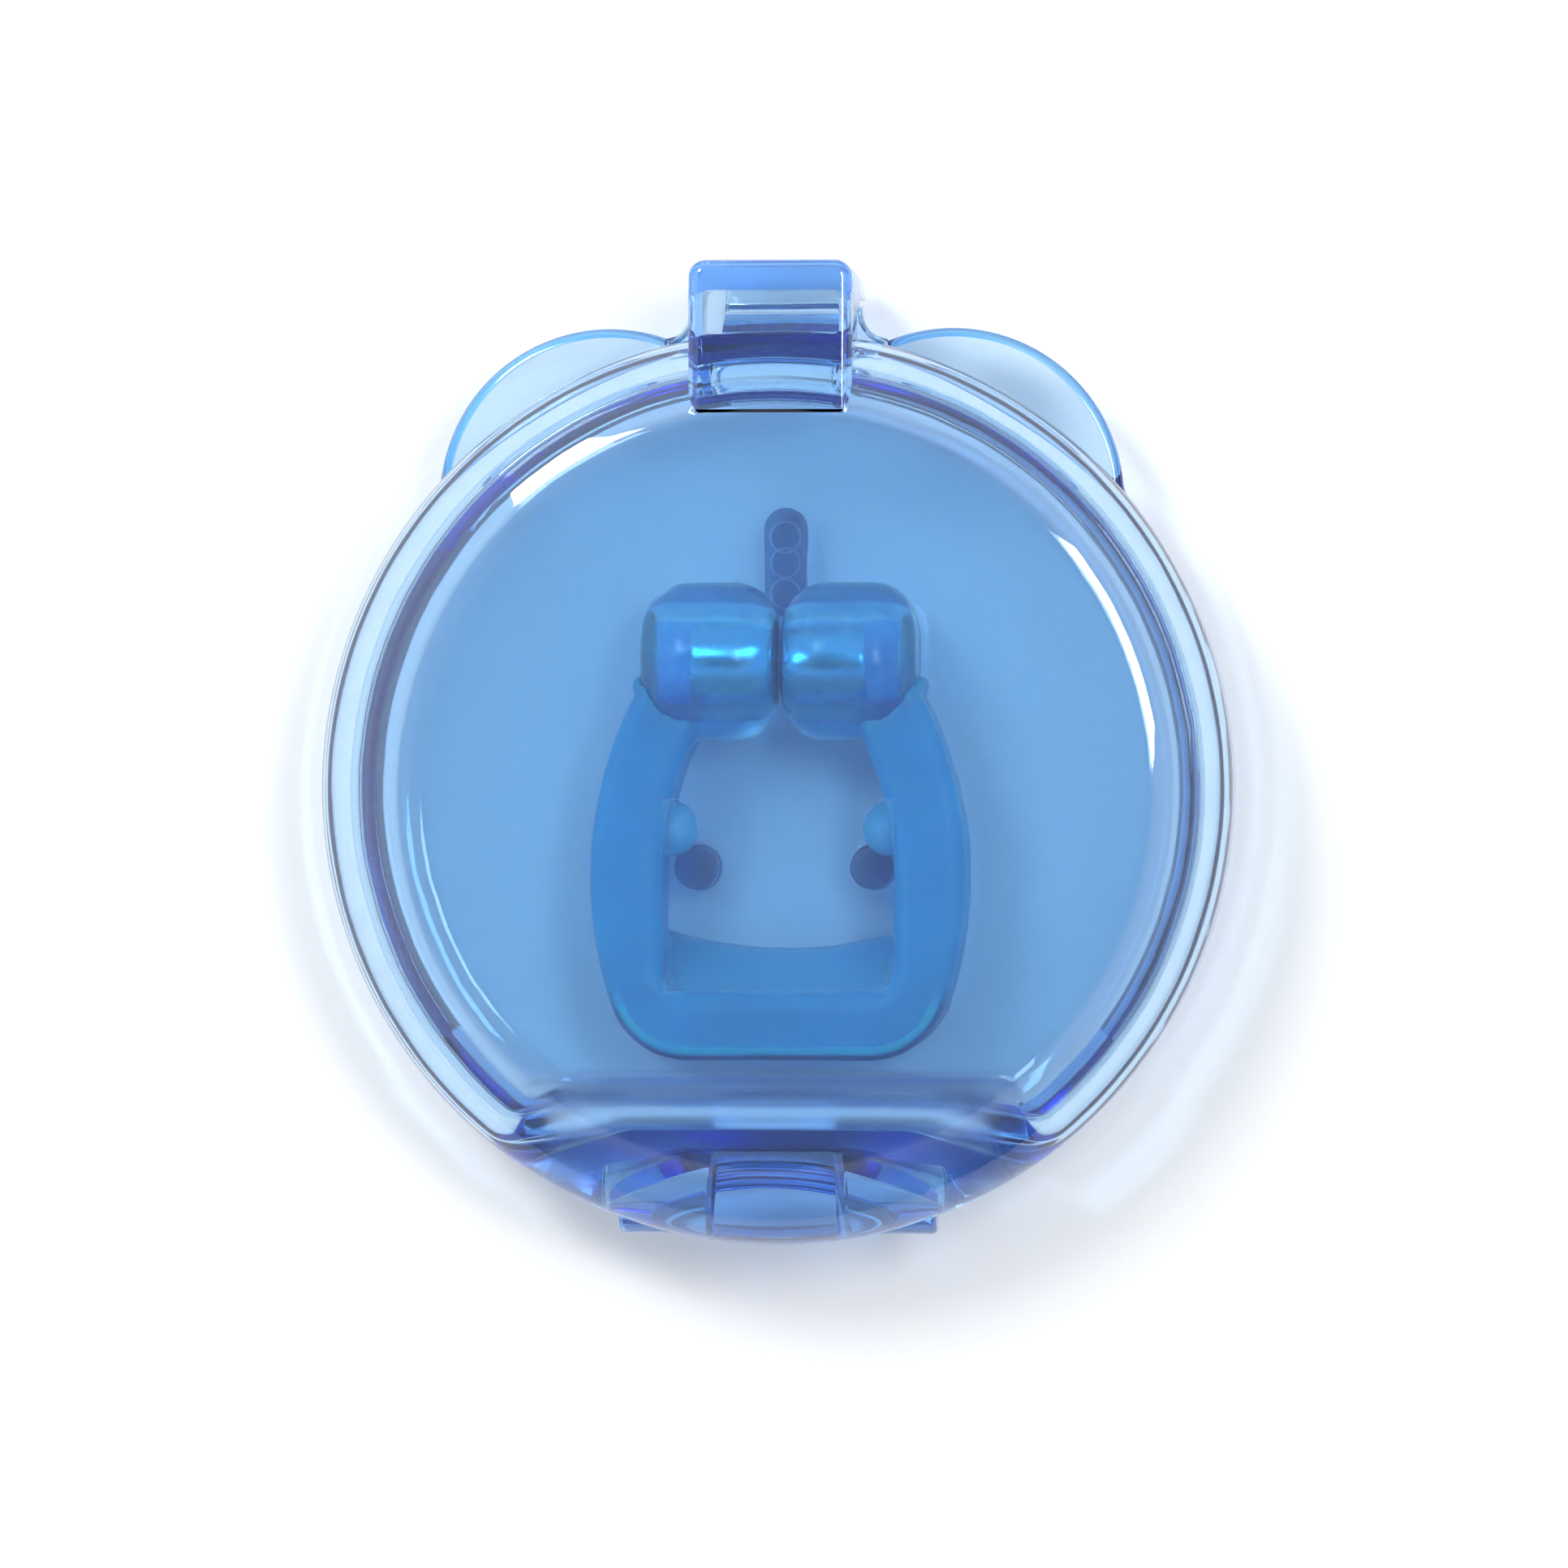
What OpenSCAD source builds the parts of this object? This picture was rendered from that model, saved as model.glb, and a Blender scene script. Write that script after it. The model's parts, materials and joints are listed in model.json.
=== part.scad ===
// Magnetic silicone nose clip in its round, hinged, clear storage case with two ear tabs.
// The origin is the middle of the case's underside. +Z points up through the lid,
// +Y points to the latch and the hinge is at the back, on -Y. All sizes are in millimetres.

/* [Case] */
// Outer diameter of the round case
case_d = 42.7; // [41:0.1:54]
// Height of the base, from its underside to the parting plane
base_h = 7; // [6.4:0.1:9]
// Height of the lid above the parting plane
lid_h = 6; // [5.6:0.1:9]
// Thickness of the floor
floor_t = 1.4; // [1:0.1:2]
// Thickness of the base's side wall, lip included
base_wall = 2.35; // [2:0.05:3]
// Rounding of the base's outer bottom edge
base_round = 4.2; // [2:0.1:4.6]
// Rounding of the base's bottom edge along its back wall
back_edge = 1.5; // [0.8:0.1:2]
// Rounding between the floor and the side wall
floor_round = 1.9; // [1:0.1:2.4]
// Thickness of the lid's side wall
lid_wall = 1.3; // [1:0.05:1.35]
// Thickness of the lid's top plate
lid_top = 1.3; // [1:0.1:1.8]
// Rounding of the lid's outer top edge
lid_round = 4.3; // [3.5:0.1:4.8]
// Height of the base's lip above the parting plane
lip_h = 1; // [0.6:0.1:1.4]
// Gap between the closed lid and the base, on the rim and round the lip
lid_gap = 0.15; // [0.1:0.05:0.25]
// How far in front of the cavity's back wall the lip ends, so that the lid can swing off it
lip_stop = 4; // [3.5:0.5:6]

/* [Ear tabs] */
// Diameter of each ear
ear_d = 16.1; // [14:0.1:18]
// Distance of each ear's middle from the case's middle plane
ear_x = 8.1; // [7.6:0.1:9]
// How far each ear stands out from the round outline
ear_reach = 2.53; // [2:0.01:3.2]
// Thickness of the ears
ear_t = 1.4; // [1:0.1:2]
// How far the ears' top face lies below the parting plane
ear_drop = 0.8; // [0.4:0.1:1.6]
// Fillet between an ear and the case
ear_fillet = 1.2; // [0.6:0.1:2]

/* [Hinge] */
// Width across both hinge lugs
lugs_w = 14.9; // [12:0.1:18]
// Width of the knuckle between the lugs
knuckle_w = 5.6; // [4:0.1:7]
// Outer diameter of the knuckle and the lugs
knuckle_d = 3.6; // [3.2:0.1:4]
// Distance of the hinge axis inside the round outline
hinge_inset = 2.25; // [2.1:0.05:2.6]
// Diameter of the stub pins
pin_d = 1.6; // [1.2:0.1:2]
// Length of each stub pin
pin_l = 3.1; // [2:0.1:3.6]
// How far a lug's foot reaches below its round end
lug_foot = 1; // [0.6:0.1:1.4]
// Half the thickness of the web that joins the knuckle to the lid
web_half = 1; // [0.7:0.1:1.4]
// Radial running clearance of the stub pins
pin_gap = 0.07; // [0.03:0.01:0.1]
// Side clearance between the knuckle, the lugs and the lid
side_gap = 0.25; // [0.2:0.05:0.4]
// Clearance round the knuckle and the lugs as the lid swings
swing_gap = 0.35; // [0.25:0.05:0.5]
// Thickness of the lid's wall in front of the hinge
back_wall = 1.05; // [0.9:0.05:1.4]
// Rounding between the floor or the lid's top plate and the back wall
back_round = 2; // [1:0.1:2.4]

/* [Latch] */
// Width of the latch tab
tab_w = 7.6; // [6:0.1:8]
// How far the latch tab stands out from the round outline
tab_reach = 3.15; // [2.8:0.05:3.6]
// Thickness of the tab's tongue
tongue_t = 1.4; // [1.1:0.1:1.6]
// Thickness of the tab's side cheeks
cheek_t = 0.65; // [0.5:0.05:1]
// How far the tongue reaches below the parting plane
tongue_drop = 4.4; // [3.8:0.1:5]
// How far the flat top of the tab reaches in over the rounded rim
tab_inset = 4.3; // [3.5:0.1:5]
// Rounding of the tab's front corners
tab_round = 0.8; // [0.4:0.1:1.2]
// Fillet between the tab's cheeks and the round outline
tab_flare = 1.5; // [1:0.1:2]
// Width of the catch on the base
catch_w = 5; // [3:0.1:5.4]
// How far the catch stands out from the base
catch_out = 0.85; // [0.6:0.05:0.9]
// Depth of the catch's underside below the parting plane
catch_drop = 3; // [2.6:0.1:3.2]
// Height of the catch
catch_h = 1.6; // [1.2:0.1:2]
// Height of the catch's flat tip, and of the hook's
catch_land = 0.4; // [0.3:0.1:0.6]
// Clearance between the tongue's hook and the catch
catch_gap = 0.15; // [0.1:0.05:0.25]
// How far the hook starts above the tongue's lower end
hook_lift = 0.2; // [0.1:0.1:0.4]

/* [Clip] */
// Widest distance across the clip's arms
clip_w = 17.7; // [16:0.1:20]
// Length of the clip, from the back of the bridge to the tips of the heads
clip_l = 22.5; // [21.5:0.1:24]
// Distance from the case's middle back to the clip's bridge
clip_back = 12.8; // [12.4:0.1:13]
// Width of each arm, seen from above
arm_t = 3.4; // [2.8:0.1:4]
// Height of each arm
arm_h = 5.2; // [4.4:0.1:6]
// Radius of the outward bow of the arms
arm_bow = 18.5; // [16:0.5:22]
// Distance from the bridge's back face to the widest place of the arms
waist_y = 8.6; // [7.6:0.1:9.6]
// Rounding of the bridge's outer corners
corner_r = 3.8; // [3:0.1:4.4]
// How far the arms end short of the heads' axis
arm_tuck = 1.4; // [1:0.1:1.8]
// Thickness of the bridge at the top
bridge_t = 3; // [2.4:0.1:3.6]
// Distance from the bridge's back face to the middle of its sloped shelf's edge
shelf_y = 5.25; // [4.6:0.05:6]
// Thickness of the shelf's edge
shelf_t = 0.9; // [0.6:0.1:1.4]
// Radius of the shelf's hollow edge
shelf_bow = 20; // [16:0.5:26]
// Rounding of the inner corners between the bridge and the arms
window_r = 1.5; // [0.8:0.1:2]
// Diameter of the heads
head_d = 7.5; // [7:0.1:8]
// Length of each head
head_l = 6.45; // [6.2:0.05:7]
// Rounding of the heads' edges
head_round = 2.2; // [1.6:0.1:2.5]
// Radius of the bump inside each arm
bump_r = 1.3; // [1:0.1:1.5]
// Distance from the bridge's back face to the bumps
bump_y = 10.9; // [10.4:0.1:11.6]
// How far the middle of each bump stands off the arm's inner face
bump_off = 0.1; // [0:0.05:0.3]

/* [Magnets] */
// Diameter of each magnet
magnet_d = 4; // [3.5:0.1:4.4]
// Length of each magnet
magnet_l = 3.6; // [3:0.1:4]
// Thickness of the head's wall in front of the magnet
face_t = 0.45; // [0.3:0.05:0.6]
// Length of the empty pocket behind the magnet
pocket_l = 1.3; // [0.8:0.1:1.5]
// Clearance round the magnet
magnet_gap = 0.04; // [0.02:0.01:0.1]
// Diameter of the vent from the empty pocket through the outer end of the head
vent_d = 1; // [0.6:0.1:1.4]

/* [Floor posts] */
// Diameter of the round pegs inside the clip
peg_d = 2.05; // [1.6:0.05:2.4]
// Height of the pegs above the floor
peg_h = 2.2; // [1.6:0.1:2.3]
// Distance from the bridge's back face to the pegs
peg_y = 9.05; // [8.4:0.05:9.4]
// Clearance between the pegs and the clip's arms
peg_gap = 0.25; // [0.15:0.05:0.4]
// Width of the rib in front of the heads
rib_w = 2; // [1.6:0.1:2.4]
// Length of the rib
rib_l = 5.2; // [4:0.1:6]
// Height of the rib above the floor
rib_h = 1; // [0.7:0.1:1.1]
// Distance from the tips of the heads back to the rib's end
rib_tuck = 1.6; // [1:0.1:1.8]
// Clearance under the clip, and between its two halves
clip_gap = 0.15; // [0.1:0.05:0.25]

/* [Hidden] */
$fn = 96;

// Overlap that makes joined solids fuse and cuts run past a face
bite = 0.3;
// Depth to which ribs and flares reach into the round wall that they grow from
root = 1;
far = 100;

case_r = case_d / 2;
case_h = base_h + lid_h;
cavity_r = case_r - base_wall;
lid_bore_r = case_r - lid_wall;

knuckle_r = knuckle_d / 2;
swing_r = knuckle_r + swing_gap;
hinge_y = -(case_r - hinge_inset);
hinge_z = base_h;
lug_in = knuckle_w / 2 + side_gap;
lug_out = lugs_w / 2;
pocket_x = lug_out + side_gap;
// Back faces: the base's outer back wall, the lid's outer back wall, and the inside of both
base_back = hinge_y + knuckle_r - bite;
lid_back = hinge_y + swing_r;
cavity_back = lid_back + back_wall;

ear_top = base_h - ear_drop;
// Distance of the ears' middles from the case's middle, then from the line across its middle
ear_far = case_r + ear_reach - ear_d / 2;
ear_y = sqrt(ear_far ^ 2 - ear_x ^ 2);
// Places where the ear's fillets touch: two circles of known radius about two known centres meet
ear_along = ((case_r + ear_fillet) ^ 2 - (ear_d / 2 + ear_fillet) ^ 2 + ear_far ^ 2) / (2 * ear_far);
ear_off = sqrt((case_r + ear_fillet) ^ 2 - ear_along ^ 2);

tongue_y = case_r + tab_reach - tongue_t;
catch_z = base_h - catch_drop;
flare_x = tab_w / 2 + tab_flare;
flare_y = sqrt((case_r + tab_flare) ^ 2 - flare_x ^ 2);

clip_z = floor_t + clip_gap + head_d / 2;
arm_z = clip_z - arm_h / 2;
foot_z = floor_t + clip_gap;
head_y = clip_l - head_d / 2;
bow_x = clip_w / 2 - arm_bow;
inner_x = clip_w / 2 - arm_t;
corner_x = bow_x + sqrt((arm_bow - corner_r) ^ 2 - (waist_y - corner_r) ^ 2);
half_gap = clip_gap / 3;
pocket_len = magnet_l + 2 * magnet_gap + pocket_l;
peg_x = inner_x - peg_gap - peg_d / 2;

// A round solid with straight sides and one rounded rim: the profile is turned about Z.
module round_block(r, h, rounding) {
    rotate_extrude() {
        square([r - rounding, h]);
        square([r, h - rounding]);
        intersection() {
            square([r, h]);
            translate([r - rounding, h - rounding]) circle(r = rounding);
        }
    }
}

// Everything in front of a back wall, with a rounding where the top meets that wall.
module front_of(back, h, rounding) {
    rotate([90, 0, 90]) linear_extrude(far, center = true) {
        translate([back + rounding, -far]) square([far, far + h]);
        translate([back, -far]) square([far, far + h - rounding]);
        translate([back + rounding, h - rounding]) circle(r = rounding);
    }
}

// A prism along X from a profile drawn in Y and Z.
module along_x(x0, x1, points) {
    translate([x0, 0, 0]) rotate([90, 0, 90]) linear_extrude(x1 - x0) polygon(points);
}

module rod_x(x0, x1, r, y, z) {
    translate([x0, y, z]) rotate([0, 90, 0]) cylinder(r = r, h = x1 - x0);
}

module both_sides() {
    children();
    mirror([1, 0, 0]) children();
}

// ---- Case base ----

module base_cavity() {
    intersection() {
        translate([0, 0, case_h]) mirror([0, 0, 1])
            round_block(cavity_r, case_h - floor_t, floor_round);
        translate([0, 0, case_h]) mirror([0, 0, 1])
            front_of(cavity_back, case_h - floor_t, back_round);
    }
}

module base_shell() {
    intersection() {
        union() {
            translate([0, 0, base_h]) mirror([0, 0, 1]) round_block(case_r, base_h, base_round);
            lip();
        }
        translate([0, 0, base_h]) mirror([0, 0, 1]) front_of(base_back, base_h, back_edge);
    }
}

module lip() {
    intersection() {
        translate([0, 0, base_h - bite]) cylinder(r = lid_bore_r - lid_gap, h = lip_h + bite);
        translate([-far, cavity_back + lip_stop, -far]) cube(2 * far);
    }
}

module ear_outline() {
    translate([ear_x, ear_y]) circle(d = ear_d);
    difference() {
        polygon([[0, 0], ear_fillet_middle(1), [ear_x, ear_y]]);
        translate(ear_fillet_middle(1)) circle(r = ear_fillet);
    }
    difference() {
        polygon([[0, 0], ear_fillet_middle(-1), [ear_x, ear_y]]);
        translate(ear_fillet_middle(-1)) circle(r = ear_fillet);
    }
}

function ear_fillet_middle(side) =
    [ear_x, ear_y] * ear_along / ear_far + side * [ear_y, -ear_x] * ear_off / ear_far;

module ears() {
    both_sides() translate([0, 0, ear_top - ear_t]) linear_extrude(ear_t) ear_outline();
}

module lug() {
    difference() {
        union() {
            rod_x(lug_in, lug_out, knuckle_r, hinge_y, hinge_z);
            along_x(lug_in, lug_out, [
                [hinge_y, hinge_z - knuckle_r],
                [base_back + bite, hinge_z - knuckle_r - lug_foot],
                [base_back + bite, hinge_z],
                [hinge_y, hinge_z],
            ]);
        }
        rod_x(lug_in - bite, lug_in + pin_l, pin_d / 2 + pin_gap, hinge_y, hinge_z);
    }
}

module catch() {
    along_x(-catch_w / 2, catch_w / 2, [
        [case_r - root, catch_z],
        [case_r + catch_out, catch_z],
        [case_r + catch_out, catch_z + catch_land],
        [case_r, catch_z + catch_h],
        [case_r - root, catch_z + catch_h],
    ]);
}

module pegs() {
    both_sides() translate([peg_x, peg_y - clip_back, floor_t - bite]) cylinder(d = peg_d, h = peg_h + bite);
}

module rib() {
    rib_end = clip_l - clip_back - rib_tuck + rib_w / 2;
    translate([0, 0, floor_t - bite]) linear_extrude(rib_h + bite) {
        translate([0, rib_end]) circle(d = rib_w);
        translate([0, rib_end + rib_l - rib_w]) circle(d = rib_w);
        translate([-rib_w / 2, rib_end]) square([rib_w, rib_l - rib_w]);
    }
}

module case_base() {
    color([0.42, 0.62, 0.88, 0.5]) {
        difference() {
            union() {
                base_shell();
                ears();
                catch();
            }
            base_cavity();
            // Room for the lid's knuckle between the lugs
            rod_x(-lug_in, lug_in, swing_r, hinge_y, hinge_z);
        }
        both_sides() lug();
        pegs();
        rib();
    }
}

// ---- Case lid ----

module lid_cavity() {
    intersection() {
        round_block(lid_bore_r, case_h - lid_top, lid_round - lid_wall);
        front_of(cavity_back, case_h - lid_top, back_round);
    }
}

module tab_outline() {
    reach = case_r + tab_reach;
    half = tab_w / 2;
    translate([-half, case_r - tab_inset]) square([tab_w, tab_inset + tab_reach - tab_round]);
    translate([tab_round - half, reach - 2 * tab_round]) square([tab_w - 2 * tab_round, 2 * tab_round]);
    both_sides() translate([half - tab_round, reach - tab_round]) circle(r = tab_round);
}

module flare_outline() {
    difference() {
        polygon([
            [tab_w / 2 - bite, case_r - root],
            [tab_w / 2 - bite, flare_y],
            [flare_x, flare_y],
            [flare_x, flare_y] * (case_r - root) / (case_r + tab_flare),
        ]);
        translate([flare_x, flare_y]) circle(r = tab_flare);
    }
}

module tab() {
    seat = base_h + lid_gap;
    half = tab_w / 2;
    difference() {
        union() {
            translate([0, 0, seat]) linear_extrude(case_h - seat) tab_outline();
            translate([0, 0, seat]) linear_extrude(case_h - lid_round - seat) both_sides() flare_outline();
            translate([0, 0, base_h - tongue_drop]) linear_extrude(case_h - base_h) intersection() {
                tab_outline();
                translate([-half, tongue_y]) square([tab_w, far]);
            }
        }
        // The hollow between the tongue and the lid's wall
        translate([cheek_t - half, case_r - bite, -bite])
            cube([tab_w - 2 * cheek_t, tongue_y - case_r + bite, case_h - lid_top + bite]);
    }
    hook();
}

module hook() {
    foot = base_h - tongue_drop + hook_lift;
    top = catch_z - catch_gap;
    tip = case_r + catch_out + catch_gap;
    along_x(-catch_w / 2, catch_w / 2, [
        [tongue_y + bite, foot],
        [(tip + tongue_y) / 2, foot],
        [tip, top - catch_land],
        [tip, top],
        [tongue_y + bite, top],
    ]);
}

module lid_shell() {
    intersection() {
        round_block(case_r, case_h, lid_round);
        translate([-far, -far, base_h + lid_gap]) cube(2 * far);
    }
}

module knuckle() {
    rod_x(-knuckle_w / 2, knuckle_w / 2, knuckle_r, hinge_y, hinge_z);
    along_x(-knuckle_w / 2, knuckle_w / 2, [
        [hinge_y - web_half, hinge_z + web_half],
        [hinge_y + web_half, hinge_z + lid_gap],
        [lid_back + bite, hinge_z + lid_gap],
        [lid_back + bite, hinge_z + swing_r + bite],
        [hinge_y - web_half, hinge_z + swing_r + bite],
    ]);
    both_sides() rod_x(0, lug_in + pin_l - side_gap, pin_d / 2, hinge_y, hinge_z);
}

module case_lid() {
    color([0.50, 0.70, 0.94, 0.45]) {
        difference() {
            union() {
                lid_shell();
                tab();
            }
            lid_cavity();
            // Pocket over the lugs
            translate([-pocket_x, -far, 0]) cube([2 * pocket_x, far + lid_back, hinge_z + swing_r]);
        }
        knuckle();
    }
}

// ---- Nose clip: the right half, with Y counted from the bridge's back face ----

// Outline of the whole clip below its heads: two bowed sides and a straight back with round corners
module clip_outline() {
    intersection() {
        translate([bow_x, waist_y]) circle(r = arm_bow);
        translate([-bow_x, waist_y]) circle(r = arm_bow);
        union() {
            both_sides() translate([corner_x, corner_r]) circle(r = corner_r);
            both_sides() polygon([
                [0, 0],
                [corner_x, 0],
                [corner_x, corner_r],
                2 * [corner_x, corner_r] - [bow_x, waist_y],
                [far, far],
                [0, far],
            ]);
        }
    }
}

// The gap that the arms and the bridge enclose
module clip_window() {
    intersection() {
        translate([bow_x, waist_y]) circle(r = arm_bow - arm_t);
        translate([-bow_x, waist_y]) circle(r = arm_bow - arm_t);
        translate([-inner_x, waist_y]) square([2 * inner_x, far]);
    }
    both_sides() translate([inner_x - window_r, bridge_t + window_r]) circle(r = window_r);
    translate([window_r - inner_x, bridge_t]) square([2 * (inner_x - window_r), waist_y - bridge_t]);
    translate([-inner_x, bridge_t + window_r]) square([2 * inner_x, waist_y - bridge_t - window_r]);
}

module arm() {
    difference() {
        union() {
            translate([0, 0, arm_z]) linear_extrude(arm_h) right_part(head_y - arm_tuck);
            // The bridge stands on the floor
            translate([0, 0, foot_z]) linear_extrude(arm_z - foot_z + bite) right_part(bridge_t);
        }
        translate([0, 0, -bite]) linear_extrude(far) clip_window();
    }
}

// The right half of the outline, up to a distance from the bridge's back face
module right_part(length) {
    intersection() {
        clip_outline();
        translate([half_gap, 0]) square([clip_w, length]);
    }
}

// The bridge's sloped inner shelf, ending in a hollow edge at the floor
module shelf() {
    difference() {
        along_x(half_gap, inner_x + bite, [
            [bridge_t - bite, foot_z],
            [shelf_y + 1, foot_z],
            [shelf_y + 1, foot_z + shelf_t],
            [bridge_t, arm_z + arm_h],
            [bridge_t - bite, arm_z + arm_h],
        ]);
        translate([0, shelf_y + shelf_bow, 0]) cylinder(r = shelf_bow, h = far);
    }
}

module head() {
    rim_r = head_d / 2 - head_round;
    translate([half_gap, head_y, clip_z]) rotate([0, 90, 0]) rotate_extrude() intersection() {
        union() {
            square([rim_r, head_l]);
            translate([0, head_round]) square([head_d / 2, head_l - 2 * head_round]);
            translate([rim_r, head_round]) circle(r = head_round);
            translate([rim_r, head_l - head_round]) circle(r = head_round);
        }
        square([head_d, head_l]);
    }
}

module clip_half() {
    bump_x = bow_x + sqrt((arm_bow - arm_t) ^ 2 - (bump_y - waist_y) ^ 2) - bump_off;
    translate([0, -clip_back, 0]) difference() {
        union() {
            arm();
            shelf();
            head();
            translate([bump_x, bump_y, clip_z]) rotate([0, 90, 0]) sphere(r = bump_r);
        }
        rod_x(half_gap + face_t, half_gap + face_t + pocket_len, magnet_d / 2 + magnet_gap, head_y, clip_z);
        rod_x(half_gap + face_t, half_gap + head_l + bite, vent_d / 2, head_y, clip_z);
    }
}

module clip_right() {
    color([0.22, 0.54, 0.80]) clip_half();
}

module clip_left() {
    color([0.22, 0.54, 0.80]) mirror([1, 0, 0]) clip_half();
}

// ---- Magnets ----

module magnet() {
    start = half_gap + face_t + magnet_gap;
    rod_x(start, start + magnet_l, magnet_d / 2, head_y - clip_back, clip_z);
}

module magnet_right() {
    color("silver") magnet();
}

module magnet_left() {
    color("silver") mirror([1, 0, 0]) magnet();
}

case_base();
case_lid();
clip_left();
clip_right();
magnet_left();
magnet_right();
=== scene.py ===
"""Looks of a magnetic silicone nose clip in its round, hinged, clear blue case.

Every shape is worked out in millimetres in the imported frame: +Z up, +Y to the latch, the
origin in the middle of the case's underside. A mesh is scaled to metres when it is finished.
"""

import json
import math

import bmesh
import bpy
import numpy as np
from mathutils import Matrix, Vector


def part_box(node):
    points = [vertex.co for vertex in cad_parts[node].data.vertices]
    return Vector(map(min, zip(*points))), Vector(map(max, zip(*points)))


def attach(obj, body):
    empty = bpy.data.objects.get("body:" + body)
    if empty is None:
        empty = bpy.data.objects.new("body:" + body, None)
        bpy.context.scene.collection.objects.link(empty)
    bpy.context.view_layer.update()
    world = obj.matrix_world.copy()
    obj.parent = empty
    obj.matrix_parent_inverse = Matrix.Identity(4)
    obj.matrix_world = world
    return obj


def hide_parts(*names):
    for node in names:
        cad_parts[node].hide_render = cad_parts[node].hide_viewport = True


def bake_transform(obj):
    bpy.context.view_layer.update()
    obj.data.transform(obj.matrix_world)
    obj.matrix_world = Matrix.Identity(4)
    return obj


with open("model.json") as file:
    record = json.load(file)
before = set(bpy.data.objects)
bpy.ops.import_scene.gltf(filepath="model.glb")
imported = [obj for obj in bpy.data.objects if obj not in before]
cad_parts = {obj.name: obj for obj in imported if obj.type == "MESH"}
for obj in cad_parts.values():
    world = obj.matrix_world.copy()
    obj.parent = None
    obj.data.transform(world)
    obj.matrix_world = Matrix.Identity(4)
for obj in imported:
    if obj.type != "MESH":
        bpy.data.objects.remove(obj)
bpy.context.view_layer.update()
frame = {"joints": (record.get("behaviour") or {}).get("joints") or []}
scene = bpy.context.scene
MM = 0.001


def box_mm(node):
    return [np.array(corner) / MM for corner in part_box(node)]


def joint_mm(name):
    found = next(j for j in frame["joints"] if j["name"] == name)
    return np.array(found["pos_m"]) / MM


# ---- Sizes, from the frame ----

lid_low, lid_high = box_mm("case_lid")
clip_low, clip_high = box_mm("clip_right")
magnet_low, magnet_high = box_mm("magnet_right")
hinge = joint_mm("lid_hinge")

case_r = lid_high[0]
case_top = lid_high[2]
parting = hinge[2]
tongue_foot = lid_low[2]
tab_front = lid_high[1]
clip_back = -clip_low[1]
clip_foot = clip_low[2]
head_gap = clip_low[0]

# Case walls
floor_z = 1.4
base_wall = 2.35
lid_wall = 1.3
lid_gap = 0.15
cavity_r = case_r - base_wall
lid_bore_r = case_r - lid_wall
lid_ceiling = case_top - lid_wall
lid_seat = parting + lid_gap
cavity_back = -hinge[1] - 3.2
base_back = -hinge[1] - 1.5
back_corner = 2.6
base_round = 4.2
back_edge = 1.5
floor_round = 1.9
lid_round = 4.3
soft_edge = 0.14
in_wall = 0.9

# Standing lip on the base's rim
lip_h = 1
lip_r = lid_bore_r - lid_gap
lip_stop = 4

# Hinge
knuckle_r = 1.8
knuckle_x = 2.8
lug_x = (3.05, 7.45)
swing_r = 2.15
pin_r = 0.8
pin_x = 5.9
bore_r = 0.87
bore_x = 6.15
side_gap = 0.25

# Latch tab
tab_half = 3.8
tongue_y = tab_front - 1.4
tab_inner = case_r - 4.3
tab_flare = 1.5
cheek = 0.65
catch_half = 2.5
catch_out = 0.85
catch_drop = 3
catch_h = 1.6
catch_land = 0.4
catch_gap = 0.15

# Ears
ear_r = 8.05
ear_x = 8.1
ear_reach = 2.53
ear_z = (4.8, 6.2)
ear_fillet = 1.2
ear_far = case_r + ear_reach - ear_r
ear_middle = np.array([ear_x, math.sqrt(ear_far**2 - ear_x**2)])

# Clip, with the distance from the bridge's back face as its y
arm_bow = 18.5
arm_t = 3.4
waist = 8.6
half_w = clip_high[0]
bow_x = half_w - arm_bow
inner_x = half_w - arm_t
corner_r = 3.8
corner_x = bow_x + math.sqrt((arm_bow - corner_r) ** 2 - (waist - corner_r) ** 2)
bridge_t = 3.0
window_r = 1.5
shelf_edge = 5.25
shelf_bow = 20.0
bump = (inner_x - 0.28, 10.9, 1.3)
head_r = (clip_high[2] - clip_low[2]) / 2
axis_z = (clip_high[2] + clip_low[2]) / 2
head_end = 6.5
head_y = clip_high[1] - head_r
head_round = 2.2
arm_half_h = 2.6
magnet_r = (magnet_high[2] - magnet_low[2]) / 2
magnet_gap = 0.04
pocket_l = 1.3

# Floor posts, the peg as its x, y, radius and top
peg = (4.175, -3.75, 1.025, 3.6)
rib_half = 1.0
rib_y = (clip_high[1] - 0.6, clip_high[1] + 2.6)
rib_top = 2.4
post_edge = 0.14

# Round ejector marks on the rib: their radius, then each one's y and depth
mark_r = 0.76
marks = [(11.9, 0.06), (10.7, 0.12), (9.2, 0.06)]


# ---- Mesh helpers ----

def link_mesh(name, verts, faces):
    mesh = bpy.data.meshes.new(name)
    mesh.from_pydata(np.asarray(verts, float).tolist(), [], faces)
    mesh.update()
    made = bpy.data.objects.new(name, mesh)
    scene.collection.objects.link(made)
    return made


def loft(rings):
    """A closed solid through rings of equally many points, with a flat face at each end."""
    rings = [np.asarray(ring, float) for ring in rings]
    n = len(rings[0])
    faces = [
        (k * n + i, k * n + (i + 1) % n, (k + 1) * n + (i + 1) % n, (k + 1) * n + i)
        for k in range(len(rings) - 1)
        for i in range(n)
    ]
    faces.append(tuple(range(n))[::-1])
    faces.append(tuple(range((len(rings) - 1) * n, len(rings) * n)))
    made = link_mesh("loft", np.concatenate(rings), faces)
    bm = bmesh.new()
    bm.from_mesh(made.data)
    bmesh.ops.recalc_face_normals(bm, faces=bm.faces)
    bm.to_mesh(made.data)
    bm.free()
    return made


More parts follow.
